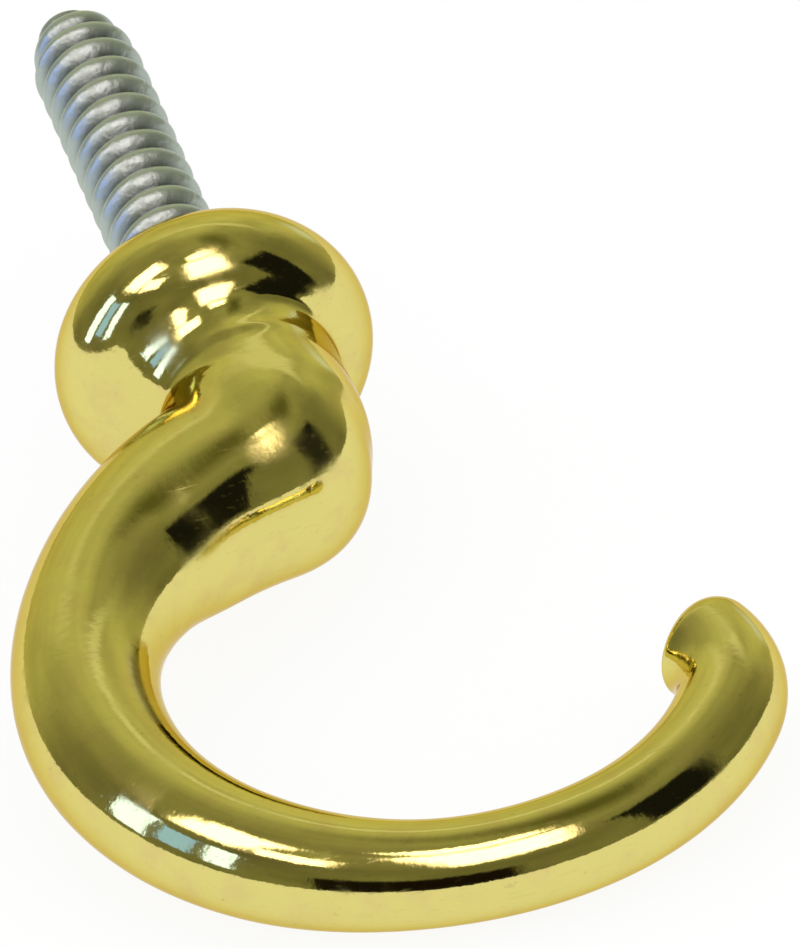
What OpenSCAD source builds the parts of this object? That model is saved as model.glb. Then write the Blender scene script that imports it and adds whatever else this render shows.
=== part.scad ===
// Cast curtain hook: a round collar that seats on the wall, an elbow and an open loop that
// thins towards its tip, with a threaded steel screw fixed in the collar.
// The origin is the middle of the collar's flat seat. The screw points along +Z, and the loop
// lies in the XZ plane below the seat, with its mouth on the +X side.

/* [Screw] */
// Diameter over the thread
screw_d = 4.2; // [3:0.1:5]
// Length that stands out of the collar
screw_len = 18.9; // [12:0.1:30]
// Distance from one thread crest to the next
thread_pitch = 1.25; // [0.8:0.05:2]
// Depth of the groove between two crests
thread_depth = 0.5; // [0.2:0.05:0.7]
// Length of the tapered point
point_len = 2.6; // [1:0.1:6]
// Diameter of the blunt end of the point
point_d = 2.1; // [1.5:0.1:2.8]
// Step from the thread's core down to the plain shank inside the casting
shank_step = 0.1; // [0.05:0.05:0.3]
// Depth of the plain shank inside the casting
shank_len = 6; // [3:0.1:8]
// Gap between the thread and the recess around it, where raised wood fibres go
recess_gap = 0.2; // [0.1:0.05:0.4]
// Depth of the recess in the seat
recess_depth = 0.4; // [0.2:0.05:0.7]

/* [Collar] */
// Widest diameter of the collar
collar_d = 12.3; // [11:0.1:18]
// Rounding of the collar's edge, from the flat seat round to the neck
rim_r = 2.65; // [1.8:0.05:3.2]
// Diameter of the neck under the collar
neck_d = 8.6; // [7.8:0.1:9.5]
// Fillet in the corner between the collar and the neck
neck_fillet = 0.5; // [0.2:0.1:1]
// Distance from the seat to the middle of the elbow
elbow_drop = 10.3; // [8:0.1:16]

/* [Hook] */
// Angle of the arm below square to the screw, where it leaves the elbow
arm_slope = 12.3; // [0:0.1:25]
// Centreline radius of the back and bottom of the loop
loop_r = 12.5; // [10:0.1:20]
// Angle that the back and bottom of the loop turn through
loop_turn = 182; // [150:1:190]
// Centreline radius of the front of the loop
front_r = 10.6; // [8:0.1:20]
// Angle that the front of the loop turns through
front_turn = 42.5; // [20:0.5:50]
// Centreline radius of the curled tip
tip_r = 4.5; // [3.5:0.1:10]
// Angle that the curled tip turns through
tip_turn = 67.5; // [10:0.5:75]

/* [Thickness] */
// Diameter at the elbow
elbow_d = 7.7; // [6:0.1:8.5]
// Diameter of the arm, a fifth of the way along
arm_d = 5.8; // [5:0.1:7]
// Diameter at the back of the loop
back_d = 5.35; // [4.5:0.05:6.5]
// Diameter at the bottom of the loop, halfway along
bottom_d = 4.65; // [4:0.05:6]
// Diameter at the front of the loop
front_d = 3.9; // [3:0.1:5]
// Diameter of the tip, before its rounded end
tip_d = 4.1; // [3:0.1:5]
// Diameter of the flat on the end of the tip
tip_flat_d = 0.5; // [0.2:0.1:2.5]

/* [Hidden] */
$fn = 64;

// Sides of the loop's round section, and rough distance between its sections
loop_sides = 32;
loop_step = 1;
// Sections that round off each end of the loop
dome_steps = 5;
// Facets around the thread, and steps from one crest to the next
thread_sides = 24;
thread_steps = 4;

// How far the neck's lower end stands out from the elbow's facets
neck_lap = 0.03;
// Plain shank that the casting holds, used by the hole and by the screw
shank_d = screw_d - 2 * thread_depth - 2 * shank_step;
// Recess in the seat, around the thread
recess_d = screw_d + 2 * recess_gap;

// ---- collar -------------------------------------------------------------------------------

// Middle of the edge's rounding, as [distance from axis, height]
rim_c = [collar_d / 2 - rim_r, -rim_r];
// The neck narrows evenly, from under the collar to just outside the elbow's round end
neck_top = [neck_d / 2, -2 * rim_r];
neck_end = [elbow_d / 2 + neck_lap, -elbow_drop];
neck_down = (neck_end - neck_top) / norm(neck_end - neck_top);
neck_out = [-neck_down.y, neck_down.x];
// Middle of the fillet, which touches the neck's side and the edge's rounding
fillet_from = neck_top + neck_fillet * neck_out - rim_c;
fillet_slide = sqrt(pow(fillet_from * neck_down, 2) - fillet_from * fillet_from
                    + pow(rim_r + neck_fillet, 2)) - fillet_from * neck_down;
fillet_c = rim_c + fillet_from + fillet_slide * neck_down;

module collar_profile() {
    polygon([[0, 0], [rim_c.x, 0], rim_c, [0, rim_c.y]]);
    translate(rim_c) circle(rim_r);
    difference() {
        polygon([[0, rim_c.y], rim_c, fillet_c, fillet_c - neck_fillet * neck_out, neck_end,
                 [0, neck_end.y]]);
        translate(fillet_c) circle(neck_fillet);
    }
}

// ---- loop ---------------------------------------------------------------------------------

// The centreline is a chain of arcs, each as [radius, angle]
bends = [[loop_r, loop_turn], [front_r, front_turn], [tip_r, tip_turn]];
function bend_len(b) = b[0] * b[1] * PI / 180;
loop_len = bend_len(bends[0]) + bend_len(bends[1]) + bend_len(bends[2]);

// Place and heading, as [x, z, heading], after a turn of a on radius r from p
function turned(p, r, a) = [
    p.x + r * (sin(p.z + a) - sin(p.z)),
    p.y + r * (cos(p.z) - cos(p.z + a)),
    p.z + a];

// Place and heading at distance s along the centreline, walking the arcs from number k
arm_start = [0, -elbow_drop, 180 + arm_slope];
function along(s, p = arm_start, k = 0) = let (b = bends[k])
    s <= bend_len(b) || k == len(bends) - 1 ? turned(p, b[0], s / bend_len(b) * b[1])
        : along(s - bend_len(b), turned(p, b[0], b[1]), k + 1);

// Diameters along the loop, as [share of the length, diameter]
stations = [[0, elbow_d], [0.2, arm_d], [0.35, back_d], [0.5, bottom_d], [0.66, front_d],
            [1, tip_d]];
// A smooth curve runs through them: its slope at each station, and its value at share t
function station_slope(k) = k == 0 || k == len(stations) - 1 ? 0
    : (stations[k + 1][1] - stations[k - 1][1]) / (stations[k + 1][0] - stations[k - 1][0]);
function between(t, k) =
    let (a = stations[k], b = stations[k + 1], w = b[0] - a[0], u = (t - a[0]) / w)
    a[1] * (2 * pow(u, 3) - 3 * pow(u, 2) + 1) + b[1] * (3 * pow(u, 2) - 2 * pow(u, 3))
    + station_slope(k) * w * (pow(u, 3) - 2 * pow(u, 2) + u)
    + station_slope(k + 1) * w * (pow(u, 3) - pow(u, 2));
function loop_d(t, k = 0) = t <= stations[k + 1][0] || k == len(stations) - 2
    ? between(t, k) : loop_d(t, k + 1);

// Sections along the loop, as [distance along it, radius], with a round end at the elbow
tip_round = (tip_d - tip_flat_d) / 2;
body_steps = ceil((loop_len - tip_round) / loop_step);
sections = concat(
    [for (i = [0:dome_steps - 1]) let (a = 90 * (i + 0.25) / (dome_steps + 0.25))
        [-elbow_d / 2 * cos(a), elbow_d / 2 * sin(a)]],
    [for (i = [0:body_steps]) let (s = (loop_len - tip_round) * i / body_steps)
        [s, loop_d(s / loop_len) / 2]],
    [for (i = [1:dome_steps]) let (a = 90 * i / dome_steps)
        [loop_len - tip_round * (1 - sin(a)), tip_flat_d / 2 + tip_round * cos(a)]]);

function section_points(s, r) =
    let (p = s < 0 ? along(0) : along(s), back = min(s, 0))
    [for (i = [0:loop_sides - 1]) let (a = 360 * i / loop_sides, side = r * cos(a))
        [p.x + back * cos(p.z) - side * sin(p.z), r * sin(a),
         p.y + back * sin(p.z) + side * cos(p.z)]];

module loop() {
    last = len(sections) - 1;
    polyhedron(
        points = [for (q = sections) each section_points(q[0], q[1])],
        faces = concat(
            [[for (i = [loop_sides - 1:-1:0]) i]],
            [for (k = [0:last - 1], i = [0:loop_sides - 1])
                let (a = k * loop_sides, j = (i + 1) % loop_sides)
                each [[a + i, a + j, a + loop_sides + i],
                      [a + j, a + loop_sides + j, a + loop_sides + i]]],
            [[for (i = [0:loop_sides - 1]) last * loop_sides + i]]));
}

module hook_body() {
    color("#c9a93a") difference() {
        union() {
            rotate_extrude() collar_profile();
            loop();
        }
        translate([0, 0, -shank_len]) cylinder(d = shank_d, h = shank_len + 1);
        translate([0, 0, -recess_depth]) cylinder(d = recess_d, h = recess_depth + 1);
    }
}

// ---- screw --------------------------------------------------------------------------------

// Thread radius at height z and phase u, with u = 0 in the groove and 0.5 on the crest
function envelope(z) = min(screw_d / 2,
    point_d / 2 + (screw_d - point_d) / 2 * sqrt(max(0, screw_len - z) / point_len));
function thread_r(z, u) = envelope(z) - thread_depth * (1 - sin(180 * u))
    * min(1, envelope(z) / screw_d * 2);

// Each column of points climbs by one pitch over a full turn, so rows follow the helix.
// Rows that fall below the recess or above the end are gathered on them.
thread_rows = ceil(thread_steps * (screw_len / thread_pitch + 2)) + 1;
function row_z(i, j) = thread_pitch * (j / thread_steps + i / thread_sides - 2);
function first_row(i) = floor(thread_steps * (2 - recess_depth / thread_pitch - i / thread_sides));
function last_row(i) = ceil(thread_steps * (screw_len / thread_pitch + 2 - i / thread_sides));
function thread_index(i, j) =
    let (c = i % thread_sides, r = j + (i == thread_sides ? thread_steps : 0))
    c * (thread_rows + 1) + min(max(r, first_row(c)), last_row(c));
function thread_point(i, j) =
    let (z = min(max(row_z(i, j), -recess_depth), screw_len),
         u = z / thread_pitch - i / thread_sides,
         r = thread_r(z, u - floor(u)), a = 360 * i / thread_sides)
    [r * cos(a), r * sin(a), z];

module thread() {
    polyhedron(
        points = [for (i = [0:thread_sides - 1], j = [0:thread_rows]) thread_point(i, j)],
        faces = concat(
            [[for (i = [0:thread_sides - 1]) thread_index(i, 0)]],
            [for (i = [0:thread_sides - 1], j = [0:thread_rows - 1])
                let (a = thread_index(i, j), b = thread_index(i + 1, j),
                     c = thread_index(i, j + 1), d = thread_index(i + 1, j + 1))
                each [if (a != b && a != c && b != c) [a, c, b],
                      if (b != c && c != d && b != d) [b, c, d]]],
            [[for (i = [thread_sides - 1:-1:0]) thread_index(i, thread_rows)]]));
}

module wood_screw() {
    color("#a9adb0") union() {
        thread();
        translate([0, 0, -shank_len]) cylinder(d = shank_d, h = shank_len + thread_pitch);
    }
}

hook_body();
wood_screw();
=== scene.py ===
"""Curtain hook: a cast, polished brass hook with a zinc screw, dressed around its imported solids."""

import math

import bmesh
import bpy
from bpy.props import FloatProperty, FloatVectorProperty, IntProperty, PointerProperty
from mathutils import Matrix, Vector


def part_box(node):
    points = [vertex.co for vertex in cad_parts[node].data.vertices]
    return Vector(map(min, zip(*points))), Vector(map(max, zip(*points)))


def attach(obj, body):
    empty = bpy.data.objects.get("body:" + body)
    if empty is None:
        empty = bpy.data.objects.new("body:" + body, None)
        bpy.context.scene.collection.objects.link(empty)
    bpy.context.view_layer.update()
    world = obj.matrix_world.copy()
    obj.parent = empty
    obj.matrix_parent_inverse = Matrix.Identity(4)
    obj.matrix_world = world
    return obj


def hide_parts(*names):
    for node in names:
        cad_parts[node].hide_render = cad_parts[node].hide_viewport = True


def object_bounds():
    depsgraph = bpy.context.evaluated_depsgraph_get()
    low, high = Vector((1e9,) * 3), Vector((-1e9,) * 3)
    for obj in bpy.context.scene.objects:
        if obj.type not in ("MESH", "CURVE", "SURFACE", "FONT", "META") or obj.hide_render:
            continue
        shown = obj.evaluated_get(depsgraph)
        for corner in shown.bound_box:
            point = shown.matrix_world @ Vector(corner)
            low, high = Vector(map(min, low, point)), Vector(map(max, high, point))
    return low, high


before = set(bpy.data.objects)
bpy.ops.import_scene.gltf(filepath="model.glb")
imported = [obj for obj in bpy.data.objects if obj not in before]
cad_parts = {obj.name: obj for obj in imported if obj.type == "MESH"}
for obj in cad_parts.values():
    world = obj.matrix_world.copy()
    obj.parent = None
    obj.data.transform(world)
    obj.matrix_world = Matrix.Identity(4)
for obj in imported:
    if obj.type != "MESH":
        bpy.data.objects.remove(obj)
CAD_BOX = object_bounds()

bl_info = {
    "name": "Curtain Hook",
    "version": (1, 0, 0),
    "blender": (4, 5, 0),
    "location": "3D View > Sidebar > Hook",
    "description": "Builds a polished brass curtain hook with a zinc screw, lying on a pale table",
    "category": "Object",
}

MM = 0.001
WHITE = (1.0, 1.0, 1.0, 1.0)
BODY_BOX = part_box("hook_body")
SCREW_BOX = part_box("wood_screw")

# Power of a section that is a plain ellipse
ROUND = 2.0
# How much the elbow's outer half narrows towards its flanks, for each step of power above round
DRAFT = 0.22
# Shares of the loop's length at which its thickness is given
STATIONS = (0.0, 0.2, 0.35, 0.5, 0.66, 1.0)
# Place on the collar's edge below which its back and its mouth side go their own ways
PARTING = math.radians(-30)
# Sections round the collar's edge, down the neck, round the elbow and round the tip's end
EDGE_RINGS = 36
NECK_RINGS = 60
ELBOW_RINGS = 40
TIP_RINGS = 20
# How far round its end the tip is built, which leaves a small cap
TIP_ANGLE = math.radians(87)
# Points on the edge and on the two fillets, from which the neck's sections are spaced evenly
EDGE_POINTS = 24
BACK_POINTS = 48
FRONT_POINTS = 16
# Share of the elbow by which it has its full squareness, and share from which it narrows
SQUARE_BY = 0.4
NARROW_FROM = 0.45
# Sections before and after the elbow that are softened with it, and how often
SOFT_BEFORE = 12
SOFT_AFTER = 20
SOFT_PASSES = 6
# Halvings of the span in a search
HALVINGS = 60
# Distances below which a length is nothing, two heights are level and two points are one
NO_LENGTH = 1e-9
LEVEL = 1e-6
MERGE = 0.002 * MM
# Turns of the thread made below the seat, and turns made in all beyond the screw's length. What
# lies outside the screw is cut off.
TURNS_BELOW = 2
TURNS_SPARE = 3
# Rings that round the screw's end, and how far round they go
END_RINGS = 5
END_ANGLE = math.radians(85)


# ---- what a user can change ---------------------------------------------------------------


def length(name, description, mm):
    """A size property, given in millimetres."""
    return FloatProperty(name=name, description=description, default=mm * MM, min=0.0,
                         precision=5, unit="LENGTH", subtype="DISTANCE")


def angle(name, description, degrees):
    """An angle property, given in degrees."""
    return FloatProperty(name=name, description=description, default=math.radians(degrees),
                         unit="ROTATION", subtype="ANGLE")


def share(name, description, value):
    """A property from 0 to 1."""
    return FloatProperty(name=name, description=description, default=value, min=0.0, max=1.0,
                         subtype="FACTOR")


def colour(name, description, value):
    """A colour property."""
    return FloatVectorProperty(name=name, description=description, default=value, size=3,
                               min=0.0, max=1.0, subtype="COLOR")


class HookSizes(bpy.types.PropertyGroup):
    """Sizes of the cast body"""

    collar_d: length("Collar diameter", "Widest diameter of the collar", 2 * BODY_BOX[1].y / MM)
    rim_r: length("Edge rounding", "Rounding of the collar's edge", 2.65)
    neck_back: length("Neck back", "From the screw's axis to the back of the neck", 3.0)
    neck_front: length("Neck front", "From the screw's axis to the mouth side of the neck", 4.25)
    back_fillet: length("Back fillet", "Fillet from the collar to the back of the neck", 4.0)
    front_fillet: length("Front fillet", "Fillet from the collar to the neck's mouth side", 0.5)
    neck_side: length("Neck side", "From the screw's axis to each flank of the neck", 4.3)
    side_fillet: length("Side fillet", "Fillet from the collar to each flank of the neck", 2.2)
    elbow_side: length("Elbow side", "Half the width across the elbow", 4.2)
    elbow_power: FloatProperty(name="Elbow squareness", default=3.4, min=2.0,
                               description="Power of the elbow's outer half, where 2 is round")
    ridge_share: share("Ridge share", "Share of the loop over which the elbow's ridge fades", 0.1)
    elbow_shift: length("Elbow shift", "How far the elbow stands towards the mouth", 0.1)
    elbow_drop: length("Elbow drop", "Distance from the seat to the middle of the elbow", 10.3)
    crotch_r: length("Crotch rounding", "Rounding between the neck and the arm", 0.6)
    arm_slope: angle("Arm slope", "Angle of the arm below square to the screw", 12.3)
    loop_r: length("Loop radius", "Centreline radius of the back and bottom", 12.5)
    loop_turn: angle("Loop turn", "Angle that the back and bottom turn through", 182)
    front_r: length("Front radius", "Centreline radius of the front", 10.6)
    front_turn: angle("Front turn", "Angle that the front turns through", 42.5)
    tip_r: length("Tip radius", "Centreline radius of the curled tip", 4.2)
    tip_turn: angle("Tip turn", "Angle that the curled tip turns through", 72)
    elbow_d: length("Elbow thickness", "Diameter at the elbow", 7.7)
    arm_d: length("Arm thickness", "Diameter a fifth of the way along", 5.8)
    back_d: length("Back thickness", "Diameter at the back of the loop", 5.35)
    bottom_d: length("Bottom thickness", "Diameter at the bottom of the loop", 4.65)
    front_d: length("Front thickness", "Diameter at the front of the loop", 3.9)
    tip_d: length("Tip thickness", "Diameter of the tip, before its rounded end", 4.15)
    tip_dome: length("Tip rounding", "Length of the rounded end of the tip", 1.35)
    ring_gap: length("Ring gap", "Distance between two rings of the skin", 0.25)
    sides: IntProperty(name="Sides", description="Faces around the skin", default=128, min=12)


class ScrewSizes(bpy.types.PropertyGroup):
    """Sizes of the threaded screw"""

    screw_d: length("Thread diameter", "Diameter over the thread", 4.2)
    screw_len: length("Thread length", "Length outside the collar", SCREW_BOX[1].z / MM)
    pitch: length("Pitch", "Distance from one crest to the next", 1.25)
    depth: length("Thread depth", "Depth of the groove", 0.5)
    point_len: length("Point length", "Length of the tapered point", 2.6)
    point_d: length("Point diameter", "Diameter of the blunt end", 2.1)
    end_round: length("End rounding", "Height of the rounding on the blunt end", 0.2)
    shank_d: length("Shank diameter", "Diameter of the plain shank inside the casting", 3.0)
    shank_len: length("Shank length", "Depth of the plain shank", -SCREW_BOX[0].z / MM)
    recess_gap: length("Recess gap", "Gap between the thread and the recess around it", 0.2)
    recess_depth: length("Recess depth", "Depth of the recess in the seat", 0.4)
    steps: IntProperty(name="Steps", description="Faces in one turn of the thread",
                       default=64, min=12)
    flanks: IntProperty(name="Flank steps", description="Faces from groove to groove",
                        default=16, min=4)


class HookFinish(bpy.types.PropertyGroup):
    """Colours and finishes"""

    brass: colour("Brass", "Colour of the polished brass", (0.77, 0.68, 0.21))
    brass_roughness: share("Brass roughness", "Roughness of the polished brass", 0.07)
    tarnish: colour("Tarnish", "Colour of the faint mottling in the brass", (0.66, 0.50, 0.20))
    brass_edge: colour("Brass edge", "Tint of the brass at a glancing angle", (0.75, 0.60, 0.30))
    lacquer: share("Lacquer", "Weight of the clear lacquer over the brass", 0.15)
    lacquer_roughness: share("Lacquer roughness", "Roughness of the lacquer", 0.05)
    mottling: share("Mottling", "How far the mottling goes towards the tarnish", 0.35)
    specks: share("Specks", "How dark the fine specks are", 0.2)
    scratches: share("Scratches", "How dark the fine scratches are", 0.06)
    haze: share("Haze", "Roughness that the haze adds to the brass", 0.12)
    scratch_roughness: share("Scratch roughness", "Roughness that the scratches add", 0.08)
    zinc: colour("Zinc", "Colour of the zinc finish", (0.51, 0.58, 0.51))
    zinc_roughness: share("Zinc roughness", "Roughness of the zinc finish", 0.42)
    zinc_unevenness: share("Zinc unevenness", "How much the zinc's roughness varies", 0.12)
    zinc_metallic: share("Zinc metallic", "How far the zinc shines as bare metal does", 0.85)
    zinc_grain: length("Zinc grain", "Height of the grain in the zinc", 0.08)
    # The darker zinc colour in the grooves is painted shade, not a colour of the zinc itself.
    painted_groove_shade: share("Groove shade", "Share of the zinc's colour left in the grooves", 0.3)


class HookStage(bpy.types.PropertyGroup):
    """Camera, table and lights"""

    camera_height: angle("Camera height", "Angle of the view above the loop's plane", 39.0)
    camera_side: angle("Camera side", "Angle of the view to one side of the screw", -11.457)
    camera_roll: angle("Camera roll", "Turn of the camera about its view", -6.822)
    camera_distance: length("Camera distance", "Distance from the point it looks at", 500.2)
    camera_x: FloatProperty(name="Aim X", description="Where the camera looks, across the hook",
                            default=4.625 * MM, unit="LENGTH", subtype="DISTANCE")
    camera_z: FloatProperty(name="Aim Z", description="Where the camera looks, along the screw",
                            default=-12.273 * MM, unit="LENGTH", subtype="DISTANCE")
    camera_lens: FloatProperty(name="Lens", description="Focal length in millimetres",
                               default=509.0, min=1.0)
    table_size: length("Table size", "Half the width of the table", 500)
    table_paint: colour("Table paint", "Colour of the table", (0.9, 0.9, 0.9))
    table_level: FloatProperty(name="Table brightness", default=1.04, min=0.0,
                               description="Brightness of the table where no shadow falls")
    table_glow: share("Table glow", "Share of the table's look that shadows don't darken", 0.85)
    room_size: length("Room size", "Distance to the walls that the metal reflects", 900)
    room_tint: colour("Room tint", "Tint of the walls", (1.0, 1.0, 0.55))
    room_level: share("Room brightness", "Brightness of the walls", 0.2)
    rear_level: share("Rear brightness", "Brightness that the rear wall adds", 0.45)
    high_level: share("High brightness", "Brightness that the ceiling adds", 0.12)
    card_distance: length("Card distance", "Distance to the cards that the metal reflects", 700)
    fill_light: FloatProperty(name="Fill light", default=0.9, min=0.0,
                              description="Brightness of the soft light all round")


# ---- shader maths -------------------------------------------------------------------------


class Wire:
    """A socket of a node tree, with Python arithmetic that adds Math nodes."""

    def __init__(self, tree, socket=None):
        self.tree = tree
        self.socket = socket

    def node(self, kind, settings=None, inputs=None, output=0):
        """Adds a node of that kind, sets it up, and fills or links its sockets."""
        made = self.tree.nodes.new(kind)
        for name, value in (settings or {}).items():
            setattr(made, name, value)
        for name, value in (inputs or {}).items():
            if isinstance(value, Wire):
                self.tree.links.new(value.socket, made.inputs[name])
            else:
                made.inputs[name].default_value = value
        return Wire(self.tree, made.outputs[output]) if made.outputs else None

    def maths(self, operation, a, b):
        """Adds a Math node on two values, each a wire or a number."""
        return self.node("ShaderNodeMath", {"operation": operation}, {0: a, 1: b})

    def __add__(self, other):
        return self.maths("ADD", self, other)

    def __radd__(self, other):
        return self.maths("ADD", other, self)

    def __sub__(self, other):
        return self.maths("SUBTRACT", self, other)

    def __rsub__(self, other):
        return self.maths("SUBTRACT", other, self)

    def __mul__(self, other):
        return self.maths("MULTIPLY", self, other)

    def __rmul__(self, other):
        return self.maths("MULTIPLY", other, self)


def rgba(shade, share_left=1.0):
    """An opaque colour for a socket, darkened to that share."""
    return (*(share_left * channel for channel in shade), 1.0)


def mixed(wire, factor, a, b):
    """Colour a where factor is 0, and colour b where it is 1."""
    return wire.node("ShaderNodeMix", {"data_type": "RGBA"}, {0: factor, 6: a, 7: b}, output=2)


def noise(wire, place, size, detail=2.0):
    """Soft noise whose patches are about that many metres across."""
    return wire.node("ShaderNodeTexNoise", {},
                     {"Vector": place, "Scale": 1 / size, "Detail": detail})


def above(wire, value, low, high):
    """0 below low, 1 above high, and smooth between them."""
    return wire.node("ShaderNodeMapRange", {"interpolation_type": "SMOOTHSTEP"},
                     {"Value": value, "From Min": low, "From Max": high})


def vector_maths(wire, operation, inputs, output=0):
    """Adds a Vector Math node."""
    return wire.node("ShaderNodeVectorMath", {"operation": operation}, inputs, output)


def new_material(name):
    """An empty material, and a wire that adds nodes to it."""
    material = bpy.data.materials.new(name)
    material.use_nodes = True
    material.node_tree.nodes.clear()
    return material, Wire(material.node_tree)


def finish_surface(wire, shader):
    """Shows that shader on the material's surface."""
    wire.node("ShaderNodeOutputMaterial", {}, {"Surface": shader})


def polished_brass(finish):
    """Polished brass plating with a faint haze, fine scratches and specks."""
    material, wire = new_material("polished_brass")
    place = wire.node("ShaderNodeTexCoord", output="Object")
    haze = noise(wire, place, size=3.0 * MM, detail=5.0)
    specks = above(wire, noise(wire, place, size=0.35 * MM), low=0.70, high=0.76)
    stretched = wire.node("ShaderNodeMapping", {}, {
        "Vector": place, "Rotation": (0.3, 0.7, 0.4), "Scale": (1.0, 14.0, 14.0)})
    scratches = above(wire, noise(wire, stretched, size=2.0 * MM, detail=1.0), low=0.66, high=0.70)
    mottle = above(wire, noise(wire, place, size=1.4 * MM, detail=5.0), low=0.45, high=0.7)
    tint = mixed(wire, haze, rgba(finish.brass, 0.9), rgba(finish.brass))
    tint = mixed(wire, finish.mottling * mottle, tint, rgba(finish.tarnish))
    marks = specks * finish.specks + scratches * finish.scratches
    tint = mixed(wire, marks, tint, rgba(finish.brass, 0.35))
    roughness = (finish.brass_roughness + finish.haze * above(wire, haze, low=0.48, high=0.62)
                 + finish.scratch_roughness * scratches)
    # Heights in millimetres: broad dents, and fine ones within them
    relief = (0.006 * noise(wire, place, size=1.2 * MM)
              + 0.004 * noise(wire, place, size=0.35 * MM))
    dents = wire.node("ShaderNodeBump", {}, {"Strength": 1.0, "Distance": MM, "Height": relief})
    metal = wire.node("ShaderNodeBsdfPrincipled", {}, {
        "Base Color": tint, "Roughness": roughness, "Metallic": 1.0, "Normal": dents,
        "Specular Tint": rgba(finish.brass_edge), "Coat Weight": finish.lacquer,
        "Coat Roughness": finish.lacquer_roughness})
    finish_surface(wire, metal)
    return material


def dull_zinc(finish):
    """Semi-gloss zinc plating, slightly uneven, with painted shade that darkens the thread's grooves.
    """
    material, wire = new_material("dull_zinc")
    place = wire.node("ShaderNodeTexCoord", output="Object")
    cloud = noise(wire, place, size=1.5 * MM, detail=4.0)
    tint = mixed(wire, cloud, rgba(finish.zinc, 0.8), rgba(finish.zinc))
    # Painted shade: where the crest value is low, in the grooves, the zinc's colour is darkened.
    crest = wire.node("ShaderNodeAttribute", {"attribute_name": "crest"}, output="Fac")
    groove = rgba(finish.zinc, finish.painted_groove_shade)
    tint = mixed(wire, above(wire, crest, low=0.0, high=0.8), groove, tint)
    roughness = finish.zinc_roughness + finish.zinc_unevenness * (cloud - 0.5)
    grain = wire.node("ShaderNodeBump", {}, {
        "Strength": 1.0, "Distance": finish.zinc_grain,
        "Height": noise(wire, place, size=0.7 * MM, detail=3.0)})
    metal = wire.node("ShaderNodeBsdfPrincipled", {}, {
        "Base Color": tint, "Roughness": roughness, "Metallic": finish.zinc_metallic,
        "Normal": grain})
    finish_surface(wire, metal)
    return material


# ---- the cast body ------------------------------------------------------------------------


def eased(t):
    """A share from 0 to 1 that starts and ends gently."""
    return t * t * (3 - 2 * t)


def towards(heading):
    """Unit vector in the loop's plane, at an angle from +X."""
    return Vector((math.cos(heading), 0.0, math.sin(heading)))


class Centreline:
    """The loop's centreline: a chain of arcs that starts at the elbow."""

    def __init__(self, sizes):
        self.start = Vector((0.0, 0.0, -sizes.elbow_drop))
        self.heading = math.pi + sizes.arm_slope
        self.bends = [(sizes.loop_r, sizes.loop_turn), (sizes.front_r, sizes.front_turn),
                      (sizes.tip_r, sizes.tip_turn)]
        self.length = sum(radius * turn for radius, turn in self.bends)
        diameters = [sizes.elbow_d, sizes.arm_d, sizes.back_d, sizes.bottom_d, sizes.front_d,
                     sizes.tip_d]
        self.stations = list(zip(STATIONS, diameters))

    def at(self, distance):
        """Place and heading at that distance along."""
        place = self.start
        heading = self.heading
        for k, (radius, turn) in enumerate(self.bends):
            part = distance / radius
            if k < len(self.bends) - 1:
                part = min(part, turn)
            centre = place + radius * towards(heading + math.pi / 2)
            heading += part
            place = centre - radius * towards(heading + math.pi / 2)
            distance -= part * radius
            if distance <= NO_LENGTH:
                break
        return place, heading

    def slope(self, k):
        """Slope of the thickness curve at station k."""
        if k in (0, len(self.stations) - 1):
            return 0.0
        before, after = self.stations[k - 1], self.stations[k + 1]
        return (after[1] - before[1]) / (after[0] - before[0])

    def radius(self, distance):
        """Half the thickness at that distance along, on a smooth curve through the stations."""
        t = min(max(distance / self.length, 0.0), 1.0)
        k = max(i for i in range(len(self.stations) - 1) if self.stations[i][0] <= t)
        (t0, d0), (t1, d1) = self.stations[k], self.stations[k + 1]
        width = t1 - t0
        u = (t - t0) / width
        diameter = (d0 * (2 * u**3 - 3 * u**2 + 1) + d1 * (3 * u**2 - 2 * u**3)
                    + self.slope(k) * width * (u**3 - 2 * u**2 + u)
                    + self.slope(k + 1) * width * (u**3 - u**2))
        return diameter / 2

    def section(self, distance, radius=None):
        """(inner point, outer point, half width, power) of the section at that distance."""
        place, heading = self.at(distance)
        radius = self.radius(distance) if radius is None else radius
        side = towards(heading + math.pi / 2)
        return place - radius * side, place + radius * side, radius, ROUND


def level_section(radius, height):
    """(inner point, outer point, half width, power) of a section of the collar."""
    return Vector((-radius, 0, height)), Vector((radius, 0, height)), radius, ROUND


def arc_points(centre, radius, start, end, count):
    """Points after the start of an arc, as (distance from axis, height)."""
    angles = [start + (end - start) * i / count for i in range(1, count + 1)]
    return [centre + radius * Vector((math.cos(a), math.sin(a))) for a in angles]


def rim_centre(sizes):
    """Centre of the rounding of the collar's edge, as (distance from axis, height)."""
    return Vector((sizes.collar_d / 2 - sizes.rim_r, -sizes.rim_r))


def flare_centre(sizes, side, fillet_r):
    """Centre of the arc from the collar's edge to a neck with that side, and where it starts."""
    rim = rim_centre(sizes)
    across = side + fillet_r - rim.x
    drop = math.sqrt((sizes.rim_r + fillet_r) ** 2 - across**2)
    return rim + Vector((across, -drop)), math.atan2(-drop, across)


def back_hollow(sizes):
    """Centre of the hollow between the collar and the back of the neck."""
    flare, _ = flare_centre(sizes, sizes.neck_back, sizes.back_fillet)
    return Vector((-flare.x, 0, flare.y))


def evenly(points, count):
    """That many points after the first, evenly spaced along a row of points."""
    lengths = [(b - a).length for a, b in zip(points, points[1:])]
    spaced = []
    k = 0
    walked = 0.0
    for i in range(1, count + 1):
        target = sum(lengths) * i / count
        while k < len(lengths) - 1 and walked + lengths[k] < target:
            walked += lengths[k]
            k += 1
        spaced.append(points[k].lerp(points[k + 1], (target - walked) / lengths[k]))
    return spaced


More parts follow.
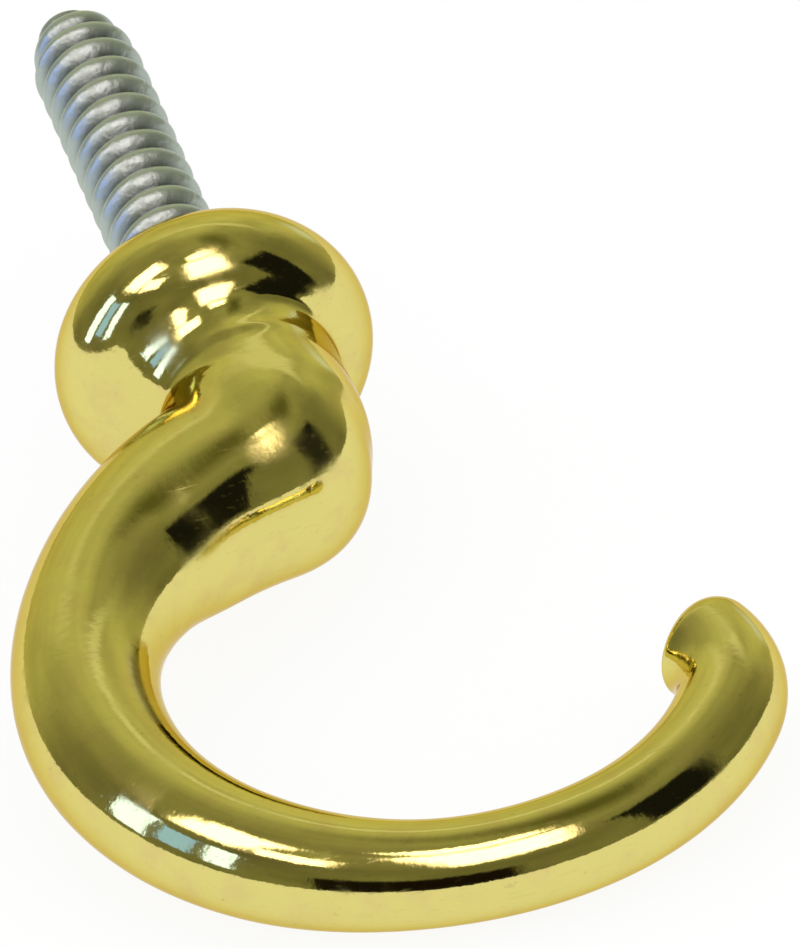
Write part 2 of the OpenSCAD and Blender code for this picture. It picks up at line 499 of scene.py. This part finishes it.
def flank(sizes, height):
    """Half the width across the collar and the neck at that height, below the rim's middle."""
    rim = rim_centre(sizes)
    centre, lowest = flare_centre(sizes, sizes.neck_side, sizes.side_fillet)
    if height > rim.y + sizes.rim_r * math.sin(lowest):
        return rim.x + math.sqrt(sizes.rim_r**2 - (height - rim.y) ** 2)
    if height > centre.y:
        return centre.x - math.sqrt(sizes.side_fillet**2 - (height - centre.y) ** 2)
    return sizes.neck_side


def two_sided(sizes, back, front):
    """A section through a point of the back and a point of the mouth side."""
    return (Vector((-back.x, 0, back.y)), Vector((front.x, 0, front.y)),
            flank(sizes, (back.y + front.y) / 2), ROUND)


def collar_sections(sizes, crotch):
    """Sections from the flat seat, round the collar's edge and its fillets, to the crotch."""
    rim = rim_centre(sizes)
    upper = arc_points(rim, sizes.rim_r, math.pi / 2, PARTING, EDGE_RINGS)
    back_centre, back_angle = flare_centre(sizes, sizes.neck_back, sizes.back_fillet)
    to_crotch = Vector((-crotch.x, crotch.z)) - back_centre
    last_angle = math.atan2(to_crotch.y, to_crotch.x)
    back = (upper[-1:] + arc_points(rim, sizes.rim_r, PARTING, back_angle, EDGE_POINTS)
            + arc_points(back_centre, sizes.back_fillet, back_angle + math.pi,
                         last_angle % (2 * math.pi), BACK_POINTS))
    front_centre, front_angle = flare_centre(sizes, sizes.neck_front, sizes.front_fillet)
    front = (upper[-1:] + arc_points(rim, sizes.rim_r, PARTING, front_angle, EDGE_POINTS)
             + arc_points(front_centre, sizes.front_fillet, front_angle + math.pi, math.pi,
                          FRONT_POINTS)
             + [Vector((sizes.neck_front, crotch.z))])
    pairs = zip(evenly(back, NECK_RINGS), evenly(front, NECK_RINGS))
    return ([level_section(*point) for point in upper]
            + [two_sided(sizes, *pair) for pair in pairs])


def bisect(test, low, high):
    """The value between low and high where the test turns from true to false."""
    for _ in range(HALVINGS):
        middle = (low + high) / 2
        if test(middle):
            low = middle
        else:
            high = middle
    return (low + high) / 2


def crotch_place(sizes, line):
    """Centre of the rounding between the neck and the arm, and where it leaves the arm."""
    hollow = back_hollow(sizes)

    def pivot(distance):
        """Centre of a rounding that touches the arm at that distance along."""
        inner = line.section(distance)[0]
        _, heading = line.at(distance)
        return inner - sizes.crotch_r * towards(heading + math.pi / 2)

    def in_neck(distance):
        """Whether that rounding still reaches into the neck's metal."""
        return (pivot(distance) - hollow).length > sizes.back_fillet - sizes.crotch_r

    leave = bisect(in_neck, 0.0, sizes.elbow_d)
    return pivot(leave), leave


def elbow_sections(sizes, line, crotch, leave):
    """Sections that fan out about the crotch, from the neck round the elbow to the arm."""
    _, heading = line.at(leave)
    turn = 1.5 * math.pi - heading
    elbow = line.start - sizes.elbow_shift * towards(line.heading)
    hollow = back_hollow(sizes)
    first = math.atan2(crotch.z - hollow.z, crotch.x - hollow.x)

    def in_metal(point):
        """Whether a point of the loop's plane lies in the neck, the elbow or the arm."""
        if (point - elbow).length < sizes.elbow_d / 2:
            return True
        if point.z > elbow.z:
            return abs(point.x) < sizes.neck_front
        s = max(0.0, min(leave, (elbow - point).dot(-towards(line.heading))))
        place, _ = line.at(s)
        return (point - place).length < line.radius(s)

    sections = []
    for i in range(1, ELBOW_RINGS):
        u = i / ELBOW_RINGS
        ray = towards(-turn * u)
        reach = bisect(lambda r: in_metal(crotch + r * ray), sizes.elbow_d / 2, 2 * sizes.elbow_d)
        ease = eased(max(0.0, u - NARROW_FROM) / (1 - NARROW_FROM))
        wide = sizes.elbow_side * (1 - ease) + line.radius(leave) * ease
        inner = crotch + sizes.crotch_r * towards(first + (-turn - first) * u)
        power = ROUND + (sizes.elbow_power - ROUND) * min(1.0, u / SQUARE_BY)
        sections.append((inner, crotch + reach * ray, wide, power))
    return sections


def arm_power(sizes, along):
    """Power of the section at that share of the way from the elbow to the tip."""
    return ROUND + (sizes.elbow_power - ROUND) * eased(max(0.0, 1 - along / sizes.ridge_share))


def softened(sections, first, last):
    """Averages each section from first to last with its neighbours, so that curves run on."""
    for _ in range(SOFT_PASSES):
        before = list(sections)
        for i in range(first, last):
            sections[i] = tuple((a + 2 * b + c) / 4 for a, b, c in
                                zip(before[i - 1], before[i], before[i + 1]))
    return sections


def section_matrix(inner, outer, wide):
    """Matrix that carries a unit circle onto a section."""
    across = (outer - inner) / 2
    normal = across.normalized().cross(Vector((0, 1, 0)))
    matrix = Matrix.Identity(4)
    matrix.col[0] = (*across, 0)
    matrix.col[1] = (0, wide, 0, 0)
    matrix.col[2] = (*(normal * MM), 0)
    matrix.col[3] = (*((inner + outer) / 2), 1)
    return matrix


def skin(sides, sections):
    """A closed tube whose rings lie on the sections, and the rings as sets of vertices."""
    bm = bmesh.new()
    last = len(sections) - 1
    bmesh.ops.create_cone(bm, cap_ends=True, cap_tris=True, segments=sides, radius1=1.0,
                          radius2=1.0, depth=last)
    upright = [e for e in bm.edges if abs(e.verts[0].co.z - e.verts[1].co.z) > last / 2]
    bmesh.ops.subdivide_edges(bm, edges=upright, cuts=last - 1, use_grid_fill=True)
    matrices = [section_matrix(*section[:3]) for section in sections]
    rings = [set() for _ in sections]
    for vert in bm.verts:
        k = round(vert.co.z + last / 2)
        rings[k].add(vert)
        flat = Vector((vert.co.x, vert.co.y, 0.0))
        if flat.x > 0:
            power = sections[k][3]
            flat /= (abs(flat.x) ** power + abs(flat.y) ** power) ** (1 / power)
            flat.x *= 1 - DRAFT * (power - ROUND) * flat.y**2
        vert.co = matrices[k] @ flat
    return bm, rings


def crease(bm, ring):
    """Keeps one ring of the skin as a sharp edge."""
    for edge in bm.edges:
        if edge.verts[0] in ring and edge.verts[1] in ring:
            edge.smooth = False


def new_piece(name, bm, material, node):
    """Makes an object of a finished bmesh, in place of a CAD node."""
    bmesh.ops.recalc_face_normals(bm, faces=bm.faces)
    for face in bm.faces:
        face.smooth = True
    mesh = bpy.data.meshes.new(name)
    bm.to_mesh(mesh)
    bm.free()
    mesh.materials.append(material)
    piece = bpy.data.objects.new(name, mesh)
    bpy.context.scene.collection.objects.link(piece)
    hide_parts(node)
    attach(piece, "root")


class HOOK_OT_body(bpy.types.Operator):
    """Builds the cast body as one skin, from the screw's hole to the tip"""

    bl_idname = "curtain_hook.body"
    bl_label = "Cast body"

    def execute(self, context):
        sizes = context.scene.hook_sizes
        screw = context.scene.hook_screw
        line = Centreline(sizes)
        crotch, leave = crotch_place(sizes, line)
        collar = collar_sections(sizes, crotch)
        elbow = elbow_sections(sizes, line, crotch, leave)
        tip_start = line.length - sizes.tip_dome
        loop_count = round((tip_start - leave) / sizes.ring_gap)
        loop = []
        for i in range(loop_count + 1):
            inner, outer, wide, _ = line.section(leave + (tip_start - leave) * i / loop_count)
            loop.append((inner, outer, wide, arm_power(sizes, i / loop_count)))
        tip_r = line.radius(line.length)
        angles = [TIP_ANGLE * i / TIP_RINGS for i in range(1, TIP_RINGS + 1)]
        tip = [line.section(tip_start + sizes.tip_dome * math.sin(a), tip_r * math.cos(a))
               for a in angles]

        sections = softened(collar + elbow + loop + tip, len(collar) - SOFT_BEFORE,
                            len(collar + elbow) + SOFT_AFTER)

        hole_r = screw.shank_d / 2
        recess_r = screw.screw_d / 2 + screw.recess_gap
        hole = [level_section(hole_r, -screw.shank_len), level_section(hole_r, -screw.recess_depth),
                level_section(recess_r, -screw.recess_depth), level_section(recess_r, 0.0)]
        seat = level_section(sizes.collar_d / 2 - sizes.rim_r, 0.0)
        bm, rings = skin(sizes.sides, hole + [seat] + sections)
        for ring in rings[:len(hole)]:
            crease(bm, ring)
        new_piece("brass_body", bm, polished_brass(context.scene.hook_finish),
                  "hook_body")
        return {"FINISHED"}


# ---- the screw ----------------------------------------------------------------------------


def envelope(sizes, height):
    """Radius over the thread at that height, which falls away at the point."""
    over = sizes.screw_d / 2
    end = sizes.point_d / 2
    left = max(0.0, sizes.screw_len - height) / sizes.point_len
    return min(over, end + (over - end) * math.sqrt(left))


def ring_at(bm, height):
    """The open edges of a bmesh that lie at that height."""
    return [e for e in bm.edges if e.is_boundary
            and all(abs(v.co.z - height) < LEVEL for v in e.verts)]


def extruded_ring(bm, edges, scale, lift):
    """Extrudes a ring of edges, scales it about the axis, lifts it and returns its edges."""
    made = bmesh.ops.extrude_edge_only(bm, edges=edges)
    verts = [g for g in made["geom"] if isinstance(g, bmesh.types.BMVert)]
    ring = set(verts)
    bmesh.ops.scale(bm, vec=(scale, scale, 1.0), verts=verts)
    bmesh.ops.translate(bm, vec=(0, 0, lift), verts=verts)
    return [g for g in made["geom"] if isinstance(g, bmesh.types.BMEdge)
            and g.verts[0] in ring and g.verts[1] in ring]


def fill_ring(bm, edges):
    """Fills a ring of edges with a fan of faces."""
    made = bmesh.ops.contextual_create(bm, geom=edges)
    bmesh.ops.poke(bm, faces=made["faces"])


class HOOK_OT_screw(bpy.types.Operator):
    """Builds the screw: a grid wrapped round its helix, a blunt point and a plain shank"""

    bl_idname = "curtain_hook.screw"
    bl_label = "Screw"

    def execute(self, context):
        sizes = context.scene.hook_screw
        over = sizes.screw_d / 2
        rows = sizes.flanks * (math.ceil(sizes.screw_len / sizes.pitch) + TURNS_SPARE)
        bm = bmesh.new()
        # The crest layer holds the thread's profile, and the zinc material also uses it to paint
        # shade into the grooves.
        crests = bm.verts.layers.float.new("crest")
        bmesh.ops.create_grid(bm, x_segments=sizes.steps, y_segments=rows, size=1.0)
        for vert in bm.verts:
            around = (vert.co.x + 1) / 2
            climb = (vert.co.y + 1) / 2 * rows / sizes.flanks
            height = sizes.pitch * (climb + around - TURNS_BELOW)
            crest = math.sin(math.pi * (climb % 1.0))
            top = envelope(sizes, height)
            radius = top - sizes.depth * (1 - crest) * top / over
            angle = 2 * math.pi * around
            vert.co = (radius * math.cos(angle), radius * math.sin(angle), height)
            vert[crests] = crest
        bmesh.ops.remove_doubles(bm, verts=bm.verts, dist=MERGE)

        end = sizes.screw_len - sizes.end_round
        bmesh.ops.bisect_plane(bm, geom=bm.verts[:] + bm.edges[:] + bm.faces[:],
                               plane_co=(0, 0, -sizes.recess_depth), plane_no=(0, 0, 1),
                               clear_inner=True)
        bmesh.ops.bisect_plane(bm, geom=bm.verts[:] + bm.edges[:] + bm.faces[:],
                               plane_co=(0, 0, end), plane_no=(0, 0, 1), clear_outer=True)
        ring = ring_at(bm, end)
        angles = [END_ANGLE * i / END_RINGS for i in range(END_RINGS + 1)]
        for before, after in zip(angles, angles[1:]):
            climb = math.sin(after) - math.sin(before)
            ring = extruded_ring(bm, ring, math.cos(after) / math.cos(before),
                                 sizes.end_round * climb)
        fill_ring(bm, ring)

        neck = extruded_ring(bm, ring_at(bm, -sizes.recess_depth), 1.0, 0.0)
        for vert in {vert for edge in neck for vert in edge.verts}:
            vert.co.xy = vert.co.xy.normalized() * sizes.shank_d / 2
        fill_ring(bm, extruded_ring(bm, neck, 1.0, sizes.recess_depth - sizes.shank_len))
        new_piece("zinc_screw", bm, dull_zinc(context.scene.hook_finish),
                  "wood_screw")
        return {"FINISHED"}


# ---- the stage ----------------------------------------------------------------------------


def camera_matrix(stage):
    """Where the camera stands, and how it is turned."""
    side, height = stage.camera_side, stage.camera_height
    back = Vector((math.sin(side) * math.cos(height), -math.sin(height),
                   -math.cos(side) * math.cos(height)))
    right = (-back).cross(Vector((0, -1, 0))).normalized()
    up = right.cross(-back)
    roll = stage.camera_roll
    across = math.cos(roll) * right + math.sin(roll) * up
    upward = -math.sin(roll) * right + math.cos(roll) * up
    aim = Vector((stage.camera_x, 0, stage.camera_z))
    matrix = Matrix.Identity(4)
    for column, vector in enumerate((across, upward, back)):
        matrix.col[column] = (*vector, 0)
    matrix.col[3] = (*(aim + stage.camera_distance * back), 1)
    return matrix


def table_frame(sizes):
    """Matrix of the table: its Z axis is the table's upward side, and its XY plane the top.

    The hook lies on the rim of its collar and on the bottom of its loop.
    """
    line = Centreline(sizes)
    rim = Vector((0, sizes.collar_d / 2 - sizes.rim_r, -sizes.rim_r))
    bottom = sizes.loop_r * (math.pi - sizes.arm_slope)
    lowest, _ = line.at(bottom)
    gap = rim - Vector((0, 0, lowest.z))
    tilt = (math.atan2(gap.y, gap.z)
            + math.asin((sizes.rim_r - line.radius(bottom)) / gap.length))
    up = Vector((0, -math.cos(tilt), math.sin(tilt)))
    across = Vector((1, 0, 0))
    matrix = Matrix.Identity(4)
    for column, vector in enumerate((across, up.cross(across), up)):
        matrix.col[column] = (*vector, 0)
    matrix.col[3] = (*(rim - sizes.rim_r * up), 1)
    return matrix


def new_stage_object(name, bm, material):
    """Makes a stage object of a finished bmesh."""
    mesh = bpy.data.meshes.new(name)
    bm.to_mesh(mesh)
    bm.free()
    mesh.materials.append(material)
    made = bpy.data.objects.new(name, mesh)
    bpy.context.scene.collection.objects.link(made)
    return made


def only_reflected(*objects):
    """These objects show in the metal's reflections and nowhere else."""
    for made in objects:
        made.visible_camera = False
        made.visible_diffuse = False
        made.visible_shadow = False
        made.visible_transmission = False


def seen_directly(wire):
    """1 for camera, glossy and transmission rays, and 0 for the rest."""
    camera, glossy, through = (wire.node("ShaderNodeLightPath", output=name) for name in
                               ("Is Camera Ray", "Is Glossy Ray", "Is Transmission Ray"))
    return camera + glossy + through


def soft_glow(name, shade, level, softness):
    """A glow that fades out towards the card's edges, over that share of its width and height."""
    material, wire = new_material(name)
    place = wire.node("ShaderNodeTexCoord", output="UV")
    middle = (0.5, 0.5, 0.0)
    off = vector_maths(wire, "SUBTRACT", {0: place, 1: middle})
    off = vector_maths(wire, "ABSOLUTE", {0: off})
    across = wire.node("ShaderNodeSeparateXYZ", {}, {"Vector": off}, output="X")
    upward = wire.node("ShaderNodeSeparateXYZ", {}, {"Vector": off}, output="Y")
    shown = above(wire, 0.5 - across, 0.0, softness) * above(wire, 0.5 - upward, 0.0, softness)
    clear = wire.node("ShaderNodeBsdfTransparent")
    shine = wire.node("ShaderNodeEmission", {}, {"Color": rgba(shade), "Strength": level})
    finish_surface(wire, wire.node("ShaderNodeMixShader", {}, {0: shown, 1: clear, 2: shine}))
    return material


def pale_table(stage):
    """White table: it keeps a soft shadow, and is see-through from underneath."""
    material, wire = new_material("pale_table")
    paint = wire.node("ShaderNodeBsdfDiffuse", {}, {"Color": rgba(stage.table_paint)})
    shine = wire.node("ShaderNodeEmission", {}, {"Color": WHITE, "Strength": stage.table_level})
    lit = wire.node("ShaderNodeMixShader", {}, {
        0: seen_directly(wire) * stage.table_glow, 1: paint, 2: shine})
    clear = wire.node("ShaderNodeBsdfTransparent")
    under = wire.node("ShaderNodeNewGeometry", output="Backfacing")
    finish_surface(wire, wire.node("ShaderNodeMixShader", {}, {0: under, 1: lit, 2: clear}))
    return material


def room_walls(stage, rear, up):
    """Uneven walls that glow a little, more at the rear and overhead."""
    material, wire = new_material("room_walls")
    place = wire.node("ShaderNodeTexCoord", output="Object")
    out = vector_maths(wire, "NORMALIZE", {0: place})
    at_rear = above(wire, vector_maths(wire, "DOT_PRODUCT", {0: out, 1: rear}, "Value"),
                    low=0.2, high=0.95)
    overhead = above(wire, vector_maths(wire, "DOT_PRODUCT", {0: out, 1: up}, "Value"),
                     low=0.6, high=1.0)
    level = stage.room_level + stage.rear_level * at_rear + stage.high_level * overhead
    clutter = 0.5 + noise(wire, out, size=0.4, detail=3.0)
    glow = vector_maths(wire, "SCALE", {0: tuple(stage.room_tint), "Scale": level * clutter})
    finish_surface(wire, wire.node("ShaderNodeEmission", {}, {"Color": glow, "Strength": 1.0}))
    return material


# Cards that the metal reflects: name, azimuth and height of the middle in degrees as seen from
# the hook, width and height in degrees, softness of the edges, brightness and tint. Azimuth 0 is
# towards the camera, 90 to its right.
CARDS = (
    ("window_a", -83, 20.2, 11, 32, 0.02, 4.2, (0.34, 0.45, 1.0)),
    ("window_b", -69, 21.6, 10, 24, 0.02, 2.1, (0.2, 0.36, 1.0)),
    ("window_c", -56, 20.9, 8, 26, 0.02, 4.2, (0.34, 0.45, 1.0)),
    ("lamp_left", -66, 56.6, 21, 31, 0.2, 4.5, (1.0, 0.88, 0.95)),
    ("lamp_mid", -38, 49.2, 20, 14, 0.2, 4.0, (1.0, 0.88, 0.95)),
    ("lamp_top", 27, 76.4, 20, 11, 0.2, 4.0, (1.0, 0.88, 0.95)),
    ("lamp_right", 20, 55.5, 30, 34, 0.2, 4.5, (1.0, 0.86, 0.95)),
    ("strip_rear", 172, 45.4, 66, 10, 0.45, 0.8, (1.0, 1.0, 0.75)),
    ("patch_rear", 148, 6.7, 24, 22, 0.45, 1.3, (0.62, 0.7, 1.0)),
    ("flag_high", 118, 73.3, 50, 24, 0.45, 0.12, (1.0, 1.0, 0.35)),
    ("flag_front", 2, 3.6, 35, 40, 0.14, 0.01, (1.0, 0.6, 0.4)),
    ("flag_left", -21, 3.5, 20, 40, 0.12, 0.01, (1.0, 0.8, 0.6)),
    ("flag_right", 67, 24.6, 31, 49, 0.12, 0.01, (1.0, 1.0, 1.0)),
)


def card_matrix(table, forward, middle, distance, azimuth, height, wide, tall):
    """Places a unit square that faces the hook, in a direction given in the table's frame."""
    azimuth, height = math.radians(azimuth), math.radians(height)
    up = table.col[2].xyz
    side = up.cross(forward)
    across = math.cos(azimuth) * side - math.sin(azimuth) * forward
    level = math.cos(azimuth) * forward + math.sin(azimuth) * side
    out = math.cos(height) * level + math.sin(height) * up
    upward = math.cos(height) * up - math.sin(height) * level
    matrix = Matrix.Identity(4)
    matrix.col[0] = (*(across * distance * math.tan(math.radians(wide / 2))), 0)
    matrix.col[1] = (*(upward * distance * math.tan(math.radians(tall / 2))), 0)
    matrix.col[2] = (*(-out), 0)
    matrix.col[3] = (*(middle + distance * out), 1)
    return matrix


def add_table(stage, table):
    """Adds the table's top."""
    bm = bmesh.new()
    bmesh.ops.create_grid(bm, x_segments=1, y_segments=1, size=stage.table_size, matrix=table)
    new_stage_object("table", bm, pale_table(stage))


def add_room(stage, table, forward):
    """Adds the walls of the room, and the windows, lamps and flags in it."""
    bm = bmesh.new()
    bmesh.ops.create_icosphere(bm, subdivisions=4, radius=stage.room_size)
    bmesh.ops.reverse_faces(bm, faces=bm.faces)
    only_reflected(new_stage_object("room", bm, room_walls(stage, -forward, table.col[2].xyz)))

    middle = (CAD_BOX[0] + CAD_BOX[1]) / 2
    for name, azimuth, height, wide, tall, softness, level, tint in CARDS:
        matrix = card_matrix(table, forward, middle, stage.card_distance, azimuth, height, wide,
                             tall)
        bm = bmesh.new()
        bm.loops.layers.uv.new("card")
        bmesh.ops.create_grid(bm, x_segments=1, y_segments=1, size=1.0, matrix=matrix,
                              calc_uvs=True)
        only_reflected(new_stage_object(name, bm, soft_glow(name, tint, level, softness)))


def add_world(stage):
    """Sets the soft light all round, on a white background."""
    world = bpy.data.worlds.new("studio")
    world.use_nodes = True
    world.node_tree.nodes.clear()
    wire = Wire(world.node_tree)
    seen = seen_directly(wire)
    light = wire.node("ShaderNodeBackground", {}, {
        "Color": WHITE, "Strength": seen + (1 - seen) * stage.fill_light})
    wire.node("ShaderNodeOutputWorld", {}, {"Surface": light})
    bpy.context.scene.world = world


def add_camera(stage, view):
    """Adds the camera, and shows colours as they are written."""
    camera = bpy.data.cameras.new("camera")
    camera.lens = stage.camera_lens
    camera.clip_start = 10 * MM
    eye = bpy.data.objects.new("camera", camera)
    eye.matrix_world = view
    scene = bpy.context.scene
    scene.collection.objects.link(eye)
    scene.camera = eye
    scene.view_settings.view_transform = "Standard"


class HOOK_OT_stage(bpy.types.Operator):
    """Sets the table, the lights and the camera"""

    bl_idname = "curtain_hook.stage"
    bl_label = "Stage"

    def execute(self, context):
        stage = context.scene.hook_stage
        table = table_frame(context.scene.hook_sizes)
        up = table.col[2].xyz
        view = camera_matrix(stage)
        back = view.col[2].xyz
        forward = (back - back.dot(up) * up).normalized()
        add_table(stage, table)
        add_room(stage, table, forward)
        add_world(stage)
        add_camera(stage, view)
        return {"FINISHED"}


class HOOK_PT_panel(bpy.types.Panel):
    """Lists the pieces and the stage"""

    bl_idname = "HOOK_PT_panel"
    bl_label = "Curtain Hook"
    bl_space_type = "VIEW_3D"
    bl_region_type = "UI"
    bl_category = "Hook"

    def draw(self, context):
        for operator in OPERATORS:
            self.layout.operator(operator.bl_idname)


GROUPS = {"hook_sizes": HookSizes, "hook_screw": ScrewSizes, "hook_finish": HookFinish,
          "hook_stage": HookStage}
OPERATORS = (HOOK_OT_body, HOOK_OT_screw, HOOK_OT_stage)


def register():
    """Registers the classes, and adds their properties to the scene."""
    for made in (*GROUPS.values(), *OPERATORS, HOOK_PT_panel):
        bpy.utils.register_class(made)
    for name, group in GROUPS.items():
        setattr(bpy.types.Scene, name, PointerProperty(type=group))


def unregister():
    """Takes away what register adds."""
    for name in GROUPS:
        delattr(bpy.types.Scene, name)
    for made in reversed((*GROUPS.values(), *OPERATORS, HOOK_PT_panel)):
        bpy.utils.unregister_class(made)


def main():
    register()
    bpy.ops.curtain_hook.body()
    bpy.ops.curtain_hook.screw()
    bpy.ops.curtain_hook.stage()


if __name__ == "__main__":
    main()
